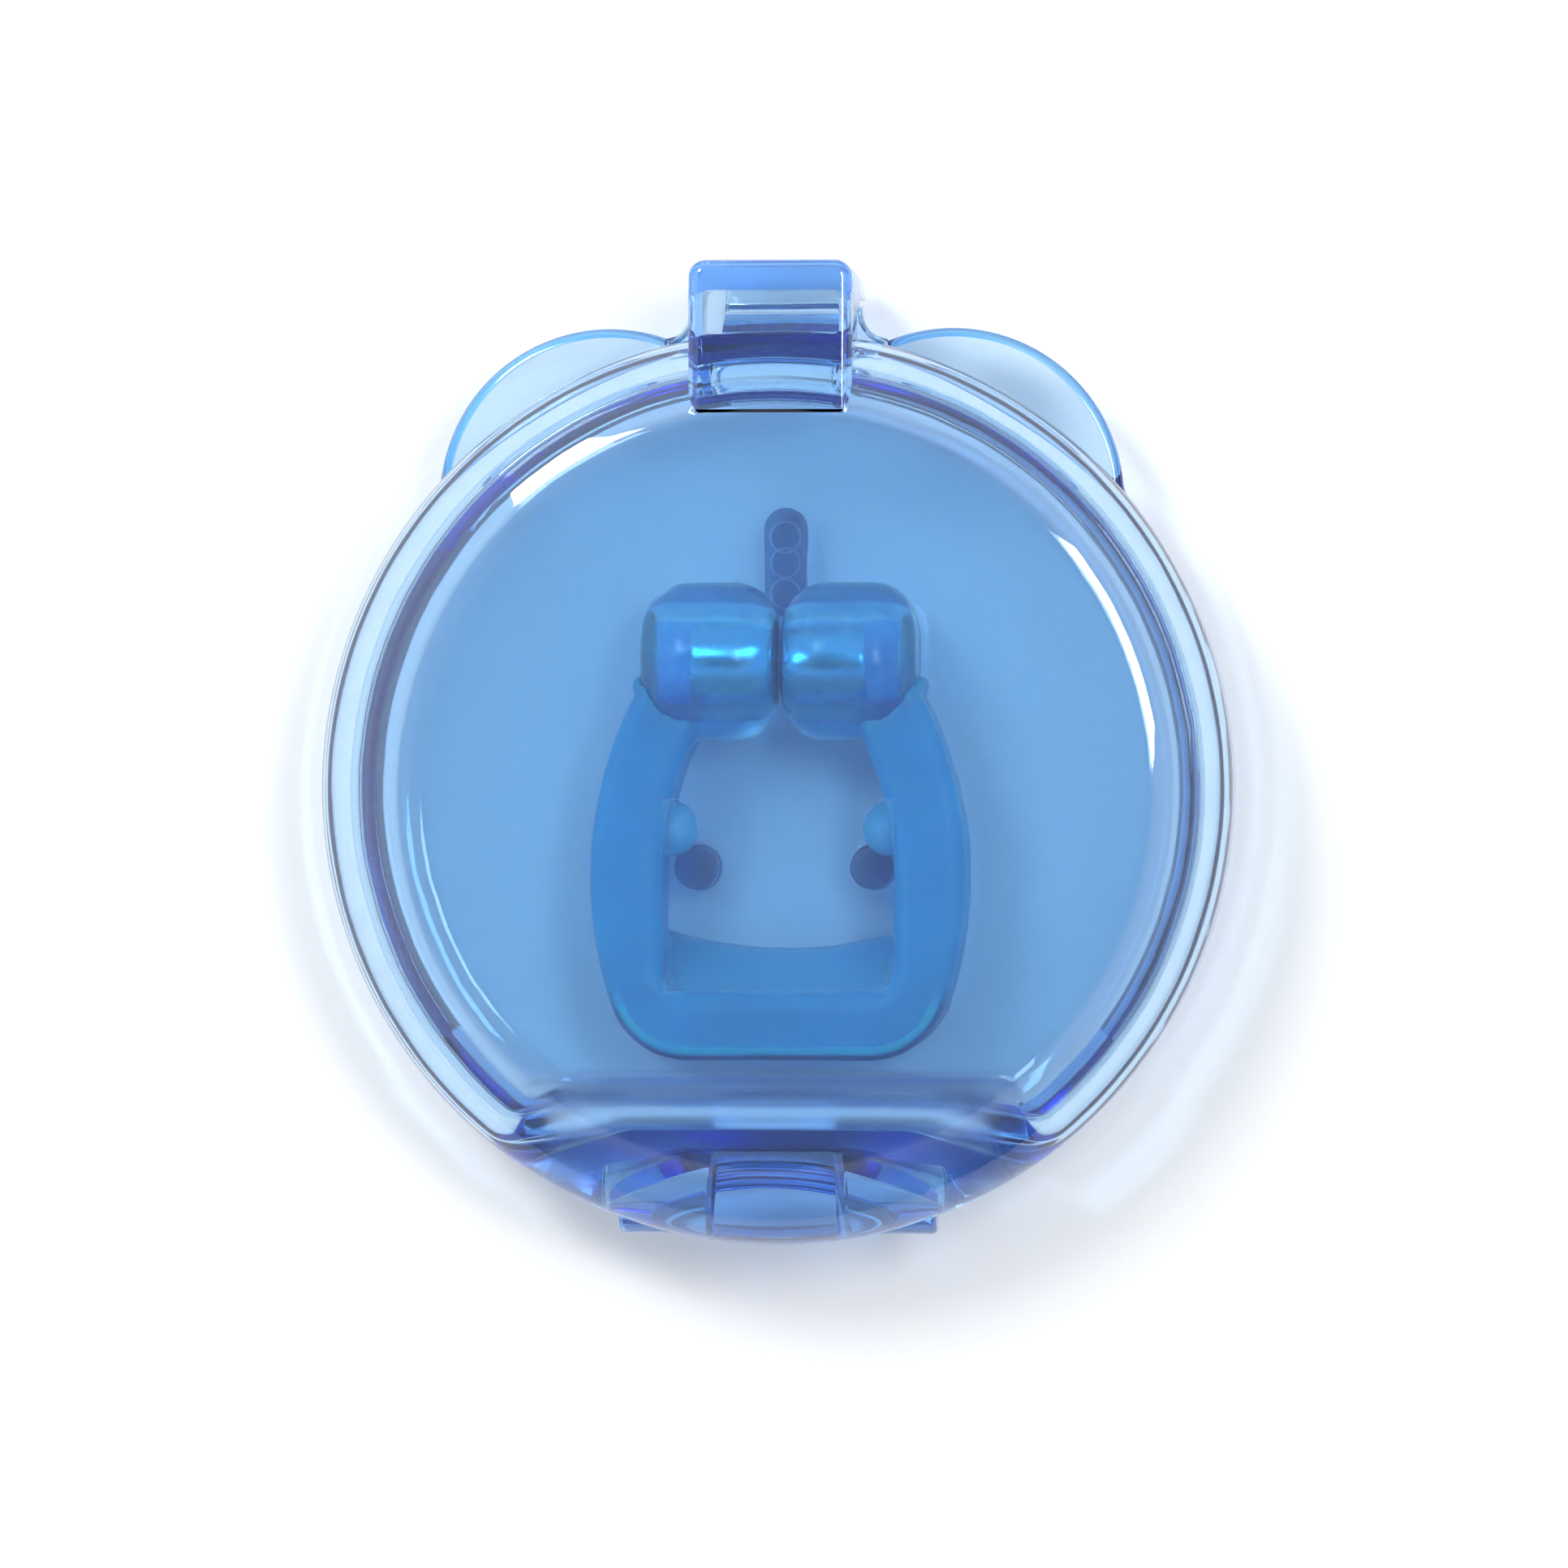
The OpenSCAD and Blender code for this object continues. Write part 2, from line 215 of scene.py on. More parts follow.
def arc(centre, r, start, end, steps):
    """Points from angle start to angle end, in radians, both ends included."""
    a = np.linspace(start, end, steps + 1)
    return np.stack([centre[0] + r * np.cos(a), centre[1] + r * np.sin(a)], 1)


def inset(outline, depth):
    """A counter-clockwise outline moved inwards by depth."""
    if abs(depth) < 1e-9:
        return outline
    ahead = np.roll(outline, -1, 0) - outline
    ahead /= np.linalg.norm(ahead, axis=1, keepdims=True)
    normal = np.stack([-ahead[:, 1], ahead[:, 0]], 1)
    before = np.roll(normal, 1, 0)
    both = normal + before
    return outline + depth * both / (1 + (normal * before).sum(1, keepdims=True))


def on_z(outline, z):
    """Outline points hold x and y."""
    return np.column_stack([outline, np.full(len(outline), z)])


def on_x(outline, x):
    """Outline points hold y and z."""
    return np.column_stack([np.full(len(outline), x), outline])


def quarter(steps=6):
    """(inset, depth) shares of a rounded edge, from the flat face to the side."""
    t = np.linspace(0, math.pi / 2, steps + 1)
    return list(zip(1 - np.sin(t), 1 - np.cos(t)))


def block(outline, low, high, low_edge=0.0, high_edge=0.0, place=on_z):
    """An outline drawn out from low to high, with rounded edges at both ends."""
    rings = []
    if low_edge:
        rings += [place(inset(outline, low_edge * i), low + low_edge * d) for i, d in quarter()]
    else:
        rings.append(place(outline, low))
    if high_edge:
        rings += [
            place(inset(outline, high_edge * i), high - high_edge * d) for i, d in quarter()[::-1]
        ]
    else:
        rings.append(place(outline, high))
    return loft(rings)


def disc(r, low, high, centre, steps, edge=0.0, place=on_z):
    circle = arc(centre, r, 0, 2 * math.pi, steps)[:-1]
    return block(circle, low, high, edge, edge, place)


def d_outline(r, back, corner, arc_steps=288, corner_steps=14, chord_steps=40):
    """A circle cut straight at y = -back with both corners rounded, counter-clockwise."""
    cy = corner - back
    cx = math.sqrt((r - corner) ** 2 - cy**2)
    turn = math.atan2(cy, cx)
    chord = np.linspace(-cx, cx, chord_steps + 1)[1:-1]
    return np.concatenate([
        arc((0, 0), r, turn, math.pi - turn, arc_steps),
        arc((-cx, cy), corner, math.pi - turn, 1.5 * math.pi, corner_steps)[1:],
        np.column_stack([chord, np.full(len(chord), -back)]),
        arc((cx, cy), corner, -math.pi / 2, turn, corner_steps)[:-1],
    ])


def dish(r, back, corner, steps, centre_inset=4.0, back_share=1.0):
    """A solid of the cut circle's shape. steps hold (inset, z), from one end to the other, and
    the back takes back_share of an inset. A last flat ring at each end keeps it shaded flat."""
    def ring(depth, z, extra=0.0):
        back_depth = depth * back_share + extra
        outline = d_outline(r - depth - extra, back - back_depth, max(corner - back_depth, 0.05))
        return on_z(outline, z)

    rings = [ring(*steps[0], centre_inset)]
    rings += [ring(*s) for s in steps]
    rings.append(ring(*steps[-1], centre_inset))
    return loft(rings)


def turned(profile, steps, centre_r=None, place=on_z):
    """A solid turned about Z, or about X with place, from (radius, height) pairs. centre_r adds
    a last flat ring at each end, which keeps it shaded flat."""
    a = np.linspace(0, 2 * math.pi, steps + 1)[:-1]
    circle = np.stack([np.cos(a), np.sin(a)], 1)
    if centre_r:
        profile = [(centre_r, profile[0][1]), *profile, (centre_r, profile[-1][1])]
    return loft([place(circle * r, z) for r, z in profile])


def boolean(target, steps):
    """Joins or cuts target by each (operation, solid) in turn, and removes the solids."""
    for operation, solid in steps:
        modifier = target.modifiers.new("cut", "BOOLEAN")
        modifier.operation, modifier.object, modifier.solver = operation, solid, "MANIFOLD"
        solid.hide_render = True
    graph = bpy.context.evaluated_depsgraph_get()
    mesh = bpy.data.meshes.new_from_object(target.evaluated_get(graph))
    target.modifiers.clear()
    target.data = mesh
    for _, solid in steps:
        bpy.data.objects.remove(solid)
    return target


def mirrored(solid):
    """A copy of a solid, mirrored across the middle plane."""
    copy = solid.copy()
    copy.data = solid.data.copy()
    scene.collection.objects.link(copy)
    bm = bmesh.new()
    bm.from_mesh(copy.data)
    for v in bm.verts:
        v.co.x = -v.co.x
    bmesh.ops.reverse_faces(bm, faces=bm.faces)
    bm.to_mesh(copy.data)
    bm.free()
    return copy


def both(operation, solid):
    return [(operation, solid), (operation, mirrored(solid))]


def finish_piece(piece, name, material, sharp_deg=32):
    """Scales a piece to metres, shades it smooth up to sharp edges and gives it its material."""
    piece.name = piece.data.name = name
    piece.data.transform(piece.matrix_world)
    co = np.zeros(len(piece.data.vertices) * 3, np.float32)
    piece.data.vertices.foreach_get("co", co)
    piece.data.vertices.foreach_set("co", co * MM)
    piece.data.polygons.foreach_set("use_smooth", np.ones(len(piece.data.polygons), bool))
    piece.data.set_sharp_from_angle(angle=math.radians(sharp_deg))
    piece.data.update()
    piece.data.materials.clear()
    piece.data.materials.append(material)
    return piece


# ---- Silicone surfaces: a signed distance, then a net of quads drawn onto it ----

def surface_net(distance, low, high, pitch, name):
    """One vertex in each grid cell that the surface crosses, moved onto the surface."""
    low, high = np.asarray(low, float), np.asarray(high, float)
    counts = np.ceil((high - low) / pitch).astype(int) + 1
    axes = [low[k] + pitch * np.arange(counts[k]) for k in range(3)]
    grid = np.stack(np.meshgrid(*axes, indexing="ij"), -1)
    field = distance(grid.reshape(-1, 3)).reshape(counts)
    cells = counts - 1
    total = np.zeros((*cells, 3))
    number = np.zeros(cells)
    crossings = []
    for axis in range(3):
        head = [slice(None)] * 3
        tail = [slice(None)] * 3
        head[axis], tail[axis] = slice(0, -1), slice(1, None)
        f0, f1 = field[tuple(head)], field[tuple(tail)]
        at = np.argwhere((f0 < 0) != (f1 < 0))
        u, v = (axis + 1) % 3, (axis + 2) % 3
        at = at[(at[:, u] > 0) & (at[:, v] > 0) & (at[:, u] < cells[u]) & (at[:, v] < cells[v])]
        a, b = f0[tuple(at.T)], f1[tuple(at.T)]
        point = low + pitch * at
        point[:, axis] += pitch * a / (a - b)
        around = []
        for du, dv in ((-1, -1), (0, -1), (0, 0), (-1, 0)):
            cell = at.copy()
            cell[:, u] += du
            cell[:, v] += dv
            np.add.at(total, tuple(cell.T), point)
            np.add.at(number, tuple(cell.T), 1)
            around.append(cell)
        crossings.append((around, a < 0))
    used = number > 0
    ids = np.full(cells, -1)
    ids[used] = np.arange(used.sum())
    points = total[used] / number[used][:, None]
    small = pitch * 0.02
    for _ in range(4):
        f = distance(points)
        slope = np.stack(
            [distance(points + small * e) - distance(points - small * e) for e in np.eye(3)], 1
        ) / (2 * small)
        points -= slope * (f / np.maximum((slope**2).sum(1), 0.2))[:, None].clip(-pitch, pitch)
    faces = []
    for around, rising in crossings:
        quad = np.stack([ids[tuple(c.T)] for c in around], 1)
        quad[~rising] = quad[~rising][:, ::-1]
        faces.append(quad)
    return link_mesh(name, points, np.concatenate(faces).tolist())


def round_and(a, b, r):
    """The overlap of two shapes, its edge rounded by r."""
    u, v = np.maximum(a + r, 0), np.maximum(b + r, 0)
    return np.minimum(np.maximum(a, b), -r) + np.hypot(u, v)


def smooth_or(a, b, k):
    """The union of two shapes, blended over about k."""
    h = np.maximum(k - np.abs(a - b), 0) / k
    return np.minimum(a, b) - h * h * k / 4


def clip_outline(x, y):
    """Outer outline of the arms and the bridge."""
    qx, qy = x - corner_x, y - corner_r
    nx, ny = (corner_x - bow_x) / (arm_bow - corner_r), (corner_r - waist) / (arm_bow - corner_r)
    in_corner = (qx > 0) & (qx * ny - qy * nx > 0)
    side = np.hypot(x - bow_x, y - waist) - arm_bow
    return np.where(in_corner, np.hypot(qx, qy) - corner_r, np.maximum(-y, side))


def clip_window(x, y):
    """The gap between the arms, negative inside it."""
    lower = round_and(x - inner_x, bridge_t - y, window_r)
    upper = np.hypot(x - bow_x, y - waist) - (arm_bow - arm_t)
    return np.where(y > waist, upper, lower)


def head_distance(x, y, z):
    """A round-edged cylinder along x."""
    middle = (head_gap + head_end) / 2
    along = np.abs(x - middle) - (head_end - head_gap) / 2
    across = np.hypot(y - head_y - clip_back, z - axis_z) - head_r
    return round_and(along, across, head_round)


def arms_distance(p):
    """The arms, the bridge and the thin web between them, less room for the heads."""
    x, y, z = np.abs(p[:, 0]), p[:, 1] + clip_back, p[:, 2]
    outer, window = clip_outline(x, y), clip_window(x, y)
    flat = round_and(outer, -window, 0.05)
    arms = round_and(flat, np.abs(z - axis_z) - arm_half_h, 0.75)
    top = axis_z + arm_half_h
    foot = np.abs(z - (clip_foot + top) / 2) - (top - clip_foot) / 2
    bridge = round_and(round_and(outer, y - bridge_t, 0.6), foot, 0.7)
    body = np.minimum(arms, bridge)
    # A thin web slopes from the bridge's top down to the hollow edge
    run, drop = shelf_edge + 1 - bridge_t, top - clip_foot - 0.9
    length = math.hypot(run, drop)
    above = ((y - bridge_t) * drop + (z - top + 0.35) * run) / length
    web = round_and(above, -above - 1.25, 0.3)
    edge = shelf_bow - np.hypot(x, y - shelf_edge - shelf_bow)
    web = round_and(web, edge, 0.3)
    web = np.maximum(np.maximum(web, clip_foot - z), z - top + 0.4)
    web = np.maximum(web, np.maximum(x - inner_x - 0.8, bridge_t - 1 - y))
    body = smooth_or(body, web, 0.5)
    knob = np.sqrt((x - bump[0]) ** 2 + (y - bump[1]) ** 2 + (z - axis_z) ** 2) - bump[2]
    body = smooth_or(body, knob, 0.12)
    # The arm's end wraps the head's outer corner with a small moulded ledge
    ledge_z = np.maximum(np.abs(z - axis_z) - 1.3, 0)
    ledge = np.sqrt((x - head_end + 0.02) ** 2 + (y - clip_back - 4.85) ** 2 + ledge_z**2) - 0.42
    body = smooth_or(body, ledge, 0.4)
    body = np.maximum(body, y - clip_back - 6.0)
    return round_and(body, 0.02 - head_distance(x, y, z), 0.05)


def build_arms():
    low = (-half_w - 0.41, -clip_back - 0.43, clip_foot - 0.47)
    high = (half_w + 0.4, 6.6, axis_z + arm_half_h + 0.4)
    return surface_net(arms_distance, low, high, 0.15, "arms")


def on_head_axis(side):
    """Places outlines round the axis of the left (-1) or right (1) head."""
    def place(outline, x):
        return np.column_stack([
            np.full(len(outline), side * x),
            outline[:, 0] + head_y,
            outline[:, 1] + axis_z,
        ])

    return place


def build_head(side):
    """A round-edged head along x with a closed pocket behind its magnet."""
    rim = head_r - head_round
    start = [(rim + head_round * math.sin(t), head_gap + head_round * (1 - math.cos(t)))
             for t in np.linspace(0, math.pi / 2, 15)]
    end = [(r, head_gap + head_end - x) for r, x in start[::-1]]
    head = turned(start + end, 120, 0.6, on_head_axis(side))
    first = magnet_low[0] - magnet_gap
    last = magnet_high[0] + magnet_gap + pocket_l
    r = magnet_r + magnet_gap
    pocket = turned(
        [(r, first), (r, last - 0.5), (r - 0.14, last - 0.14), (r - 0.5, last)],
        96, 0.5, on_head_axis(side),
    )
    return boolean(head, [("DIFFERENCE", pocket)])


def build_magnet(side):
    edge = 0.22
    front = [(magnet_r - edge * i, magnet_low[0] + edge * d) for i, d in quarter()]
    rear = [(magnet_r - edge * i, magnet_high[0] - edge * d) for i, d in quarter()[::-1]]
    return turned(front + rear, 96, 0.8, on_head_axis(side))


# ---- Case base ----

def ear_outline():
    """Round ear, its two fillets to the case and a closing stretch inside the case's wall."""
    along = (case_r + ear_fillet) ** 2 - (ear_r + ear_fillet) ** 2 + ear_far**2
    along /= 2 * ear_far
    off = math.sqrt((case_r + ear_fillet) ** 2 - along**2)
    unit = ear_middle / ear_far
    right = unit * along + off * np.array([unit[1], -unit[0]])
    left = unit * along - off * np.array([unit[1], -unit[0]])

    def angle(v):
        return math.atan2(v[1], v[0])

    def swing(centre, r, a, b, steps, ccw):
        a0, a1 = angle(a - centre), angle(b - centre)
        if ccw and a1 < a0:
            a1 += 2 * math.pi
        if not ccw and a1 > a0:
            a1 -= 2 * math.pi
        return arc(centre, r, a0, a1, steps)

    on_case = [c * case_r / (case_r + ear_fillet) for c in (right, left)]
    on_ear = [
        ear_middle + (c - ear_middle) * ear_r / (ear_r + ear_fillet) for c in (right, left)
    ]
    return np.concatenate([
        swing(right, ear_fillet, on_case[0], on_ear[0], 10, False)[:-1],
        swing(ear_middle, ear_r, on_ear[0], on_ear[1], 90, True)[:-1],
        swing(left, ear_fillet, on_ear[1], on_case[1], 10, False),
        swing(np.zeros(2), case_r - in_wall, on_case[1], on_case[0], 40, False),
    ])


def lug_outline():
    """Round lug with a foot that slopes down into the case's back wall, in y and z."""
    y, z = hinge[1], hinge[2]
    wall = -base_back + 0.3
    return np.concatenate([
        arc((y, z), knuckle_r, 0, 1.5 * math.pi, 54),
        [(wall, z - knuckle_r - 1)],
    ])


def catch_outline():
    """A ledge with a sloping top, which the lid's hook passes, in y and z."""
    z, root, out = parting - catch_drop, case_r - 1, case_r + catch_out
    return np.array([
        (root, z), (out, z), (out, z + catch_land), (case_r, z + catch_h), (root, z + catch_h),
    ])


def build_lip():
    """The standing lip, a rounded section swept along the rim, which ends short of the hinge."""
    outer, inner = lip_r, cavity_r - 0.5
    top, foot = parting + lip_h, parting - 0.3
    section = np.concatenate([
        [(inner, foot), (outer, foot)],
        arc((outer - 0.2, top - 0.2), 0.2, 0, math.pi / 2, 6),
        [(inner, top)],
    ])
    stop = math.asin((lip_stop - cavity_back) / outer)
    return loft([
        np.column_stack([section[:, 0] * math.cos(a), section[:, 0] * math.sin(a), section[:, 1]])
        for a in np.linspace(stop, math.pi - stop, 260)
    ])


def build_base():
    body = dish(
        case_r, base_back, back_edge + 0.1,
        [(base_round * i, base_round * d) for i, d in quarter(18)]
        + [(soft_edge * i, parting - soft_edge * d) for i, d in quarter(4)[::-1]],
        back_share=back_edge / base_round,
    )
    above = parting + lip_h
    cavity = dish(
        cavity_r, cavity_back, back_corner,
        [(floor_round * i, floor_z + floor_round * d) for i, d in quarter(12)]
        + [(0, above - 0.16), (-0.05, above - 0.05), (-0.16, above), (-0.3, above + 0.6)],
    )
    foot, sunk = 0.22, floor_z - 0.3
    peg_x, peg_y, peg_r, peg_top = peg
    post = turned(
        [(peg_r + foot, sunk)]
        + [(peg_r + foot * i, floor_z + foot * d) for i, d in quarter(6)]
        + [(peg_r - post_edge * i, peg_top - post_edge * d) for i, d in quarter(4)[::-1]],
        64,
    )
    post.data.transform(Matrix.Translation((peg_x, peg_y, 0)))
    stadium = np.concatenate([
        arc((0, rib_y[1]), rib_half, 0, math.pi, 24),
        arc((0, rib_y[0]), rib_half, math.pi, 2 * math.pi, 24),
    ])
    rib = block(stadium, sunk, rib_top, 0, post_edge)
    steps = [("UNION", build_lip())]
    steps += both("UNION", block(ear_outline(), *ear_z, 0.42, 0.42))
    steps += [
        ("UNION", block(catch_outline(), -catch_half, catch_half, 0.1, 0.1, on_x)),
        ("DIFFERENCE", cavity),
        ("DIFFERENCE", disc(swing_r, -lug_x[0], lug_x[0], hinge[1:], 72, place=on_x)),
    ]
    steps += both("UNION", block(lug_outline(), *lug_x, 0.12, 0.25, on_x))
    steps += both("DIFFERENCE", disc(bore_r, lug_x[0] - 0.5, bore_x, hinge[1:], 48, place=on_x))
    steps += both("UNION", post)
    steps.append(("UNION", rib))
    steps += [
        ("DIFFERENCE", disc(mark_r, rib_top - depth, rib_top + 0.4, (0, y), 40))
        for y, depth in marks
    ]
    return boolean(body, steps)


# ---- Case lid ----

def tab_outline():
    """The latch tab from above, its front corners rounder than its inner ones."""
    r, small = 0.8, 0.3
    return np.concatenate([
        arc((tab_half - r, tab_front - r), r, 0, math.pi / 2, 10),
        arc((r - tab_half, tab_front - r), r, math.pi / 2, math.pi, 10),
        arc((small - tab_half, tab_inner + small), small, math.pi, 1.5 * math.pi, 4),
        arc((tab_half - small, tab_inner + small), small, -math.pi / 2, 0, 4),
    ])


def flare_outline():
    """The fillet between the tab's cheek and the round wall."""
    x = tab_half + tab_flare
    y = math.sqrt((case_r + tab_flare) ** 2 - x**2)
    fillet = arc((x, y), tab_flare, math.pi, math.atan2(y, x) + math.pi, 12)
    sunk_x, sunk_y = tab_half - 0.3, case_r - in_wall
    tail = np.array([x, y]) * sunk_y / (case_r + tab_flare)
    return np.concatenate([fillet, [tail, (sunk_x, sunk_y), (sunk_x, y)]])


def box(low, high):
    (x0, y0, z0), (x1, y1, z1) = low, high
    return block(np.array([(x0, y0), (x1, y0), (x1, y1), (x0, y1)]), z0, z1)


def rounded_box(low, high, r):
    """A box with corners rounded by r as seen from above."""
    (x0, y0, z0), (x1, y1, z1) = low, high
    corners = [(x1 - r, y1 - r), (x0 + r, y1 - r), (x0 + r, y0 + r), (x1 - r, y0 + r)]
    outline = np.concatenate([
        arc(c, r, k * math.pi / 2, (k + 1) * math.pi / 2, 5) for k, c in enumerate(corners)
    ])
    return block(outline, z0, z1)


def hook_outline():
    """The hook on the tongue's inner face, just below the catch, in y and z."""
    tip, root = case_r + catch_out + catch_gap, tongue_y + 0.3
    top, foot = parting - catch_drop - catch_gap, tongue_foot + 0.2
    return np.array([
        ((tip + tongue_y) / 2, foot), (tip, top - catch_land), (tip, top),
        (root, top), (root, foot),
    ])


def web_outline():
    """What joins the knuckle to the lid, in y and z."""
    y, z = hinge[1], hinge[2]
    front, top = y + swing_r + 0.3, z + swing_r + 0.3
    return np.array([
        (y + 1, lid_seat), (front, lid_seat), (front, top), (y - 1, top), (y - 1, z + 1),
    ])


def build_lid():
    body = turned(
        [(case_r - soft_edge * i, lid_seat + soft_edge * d) for i, d in quarter(4)]
        + [(case_r - lid_round * i, case_top - lid_round * d) for i, d in quarter(26)[::-1]],
        320, 13.0,
    )
    inner = lid_round - lid_wall
    cavity = dish(
        lid_bore_r, cavity_back, back_corner,
        [(-0.3, lid_seat - 0.6), (-0.14, lid_seat), (-0.04, lid_seat + 0.04), (0, lid_seat + 0.14)]
        + [(inner * i, lid_ceiling - inner * d) for i, d in quarter(20)[::-1]],
    )
    tab = block(tab_outline(), tongue_foot, case_top - 0.03, 0.3, 0.5)
    tab = boolean(tab, [("DIFFERENCE", box((-9, 10, 0), (9, tongue_y, lid_seat + 0.05)))])
    front, top, far, below = hinge[1] + swing_r, hinge[2] + swing_r, -30, 4
    pocket = block(
        np.array([(far, below), (front, below), (front, top), (far, top)]),
        -lug_x[1] - side_gap, lug_x[1] + side_gap, 0.2, 0.2, on_x,
    )
    hollow = rounded_box(
        (cheek - tab_half, case_r - 0.3, 0), (tab_half - cheek, tongue_y, lid_ceiling), 0.25
    )
    steps = [("UNION", tab)]
    steps += both("UNION", block(flare_outline(), lid_seat + 0.05, case_top - lid_round, 0, 0.3))
    steps += [
        ("DIFFERENCE", cavity),
        ("DIFFERENCE", pocket),
        ("DIFFERENCE", hollow),
        ("UNION", block(hook_outline(), -catch_half, catch_half, 0.08, 0.08, on_x)),
        ("UNION", block(web_outline(), -knuckle_x, knuckle_x, 0.1, 0.1, on_x)),
        ("UNION", disc(knuckle_r, -knuckle_x, knuckle_x, hinge[1:], 72, 0.12, on_x)),
        ("UNION", disc(pin_r, -pin_x, pin_x, hinge[1:], 40, 0.15, on_x)),
    ]
    return boolean(body, steps)


# ---- Materials ----

class Nodes:
    """A material's node tree, with short calls to add and join nodes."""

    def __init__(self, name):
        self.material = bpy.data.materials.new(name)
        self.material.use_nodes = True
        self.tree = self.material.node_tree
        self.bsdf = self.tree.nodes["Principled BSDF"]
        self.output = self.tree.nodes["Material Output"]

    def add(self, kind, **values):
        node = self.tree.nodes.new(kind)
        for key, value in values.items():
            if key in node.inputs:
                node.inputs[key].default_value = value
            else:
                setattr(node, key, value)
        return node

    def join(self, source, target):
        self.tree.links.new(source, target)

    def noise(self, scale, detail=3.0, roughness=0.5):
        place = self.add("ShaderNodeTexCoord")
        noise = self.add("ShaderNodeTexNoise", Scale=scale, Detail=detail, Roughness=roughness)
        self.join(place.outputs["Object"], noise.inputs["Vector"])
        return noise.outputs["Fac"]

    def ramp(self, source, low, high):
        """Maps 0.3 to 0.7 of a pattern to low and high."""
        node = self.add("ShaderNodeMapRange")
        for key, value in (("From Min", 0.3), ("From Max", 0.7), ("To Min", low), ("To Max", high)):
            node.inputs[key].default_value = value
        self.join(source, node.inputs["Value"])
        return node.outputs["Result"]

    def math(self, operation, a, b=0.0):
        node = self.add("ShaderNodeMath", operation=operation)
        for socket, value in zip(node.inputs, (a, b)):
            if isinstance(value, (int, float)):
                socket.default_value = value
            else:
                self.join(value, socket)
        return node.outputs[0]

    def place(self):
        """Object coordinates in millimetres: |x|, y and z."""
        if not hasattr(self, "axes"):
            coord = self.add("ShaderNodeTexCoord")
            split = self.add("ShaderNodeSeparateXYZ")
            self.join(coord.outputs["Object"], split.inputs["Vector"])
            x, y, z = (self.math("MULTIPLY", split.outputs[k], 1000) for k in range(3))
            self.axes = self.math("ABSOLUTE", x), y, z
        return self.axes

    def fade(self, value, low, high):
        """0 below low, 1 above high and smooth between them; low may be the larger."""
        node = self.add("ShaderNodeMapRange", interpolation_type="SMOOTHSTEP")
        for key, number in (("From Min", low), ("From Max", high)):
            node.inputs[key].default_value = number
        self.join(value, node.inputs["Value"])
        return node.outputs["Result"]

    def far_from(self, u, v, centre):
        """The distance of u, v from a centre."""
        du, dv = self.math("SUBTRACT", u, centre[0]), self.math("SUBTRACT", v, centre[1])
        total = self.math("ADD", self.math("MULTIPLY", du, du), self.math("MULTIPLY", dv, dv))
        return self.math("SQRT", total)

    def all_of(self, first, *others):
        """The product of masks."""
        for other in others:
            first = self.math("MULTIPLY", first, other)
        return first

    def within(self, value, low, high):
        above = self.math("GREATER_THAN", value, low)
        return self.all_of(above, self.math("LESS_THAN", value, high))

    def bump(self, source, strength, distance):
        node = self.add("ShaderNodeBump", Strength=strength, Distance=distance)
        self.join(source, node.inputs["Height"])
        self.join(node.outputs["Normal"], self.bsdf.inputs["Normal"])


def clear_plastic(name):
    """Polished clear plastic: thickness deepens its blue, and slow waves in the moulded skin
    bend what is seen through it a little."""
    skin, tint, density, roughness = (0.845, 0.95, 0.995), (0.139, 0.583, 0.956), 180, 0.015
    n = Nodes(name)
    n.bsdf.inputs["Base Color"].default_value = (*skin, 1)
    n.bsdf.inputs["Transmission Weight"].default_value = 0.97
    n.bsdf.inputs["IOR"].default_value = 1.57
    n.join(n.ramp(n.noise(900, 4), roughness * 0.5, roughness * 2), n.bsdf.inputs["Roughness"])
    n.bump(n.noise(170, 2), 0.25, 0.0002)
    volume = n.add("ShaderNodeVolumeAbsorption", Color=(*tint, 1), Density=density)
    n.join(volume.outputs["Volume"], n.output.inputs["Volume"])
    return n


def satin_and_painted_light_patch(n, mask, colour, roughness):
    """Gives the plastic a satin finish and a colour where mask is 1; at most callers that colour is
    painted light or shade.
    """
    shade = n.add("ShaderNodeMix", data_type="RGBA")
    shade.inputs["A"].default_value = n.bsdf.inputs["Base Color"].default_value
    shade.inputs["B"].default_value = (*colour, 1)
    n.join(mask, shade.inputs["Factor"])
    if n.bsdf.inputs["Base Color"].is_linked:
        n.join(n.bsdf.inputs["Base Color"].links[0].from_socket, shade.inputs["A"])
    n.join(shade.outputs["Result"], n.bsdf.inputs["Base Color"])
    rough = n.add("ShaderNodeMix")
    rough.inputs["B"].default_value = roughness
    n.join(mask, rough.inputs["Factor"])
    n.join(n.bsdf.inputs["Roughness"].links[0].from_socket, rough.inputs["A"])
    n.join(rough.outputs["Result"], n.bsdf.inputs["Roughness"])


def silicone(name, colour, clear, roughness):
    """Frosted translucent silicone with a fine moulded grain."""
    n = Nodes(name)
    mix = n.add("ShaderNodeMix", data_type="RGBA")
    mix.inputs["A"].default_value = (*colour, 1)
    mix.inputs["B"].default_value = (*[c * 1.12 for c in colour], 1)
    n.join(n.ramp(n.noise(260, 4), 0, 1), mix.inputs["Factor"])
    n.join(mix.outputs["Result"], n.bsdf.inputs["Base Color"])
    n.bsdf.inputs["Transmission Weight"].default_value = clear
    n.bsdf.inputs["IOR"].default_value = 1.41
    n.bsdf.inputs["Subsurface Weight"].default_value = 1
    n.bsdf.inputs["Subsurface Radius"].default_value = (0.4, 0.8, 1.0)
    n.bsdf.inputs["Subsurface Scale"].default_value = 0.0012
    rough = n.ramp(n.noise(1400, 3), roughness * 0.85, roughness * 1.15)
    n.join(rough, n.bsdf.inputs["Roughness"])
    n.bump(n.noise(2200, 3), 0.12, 0.00005)
    return n


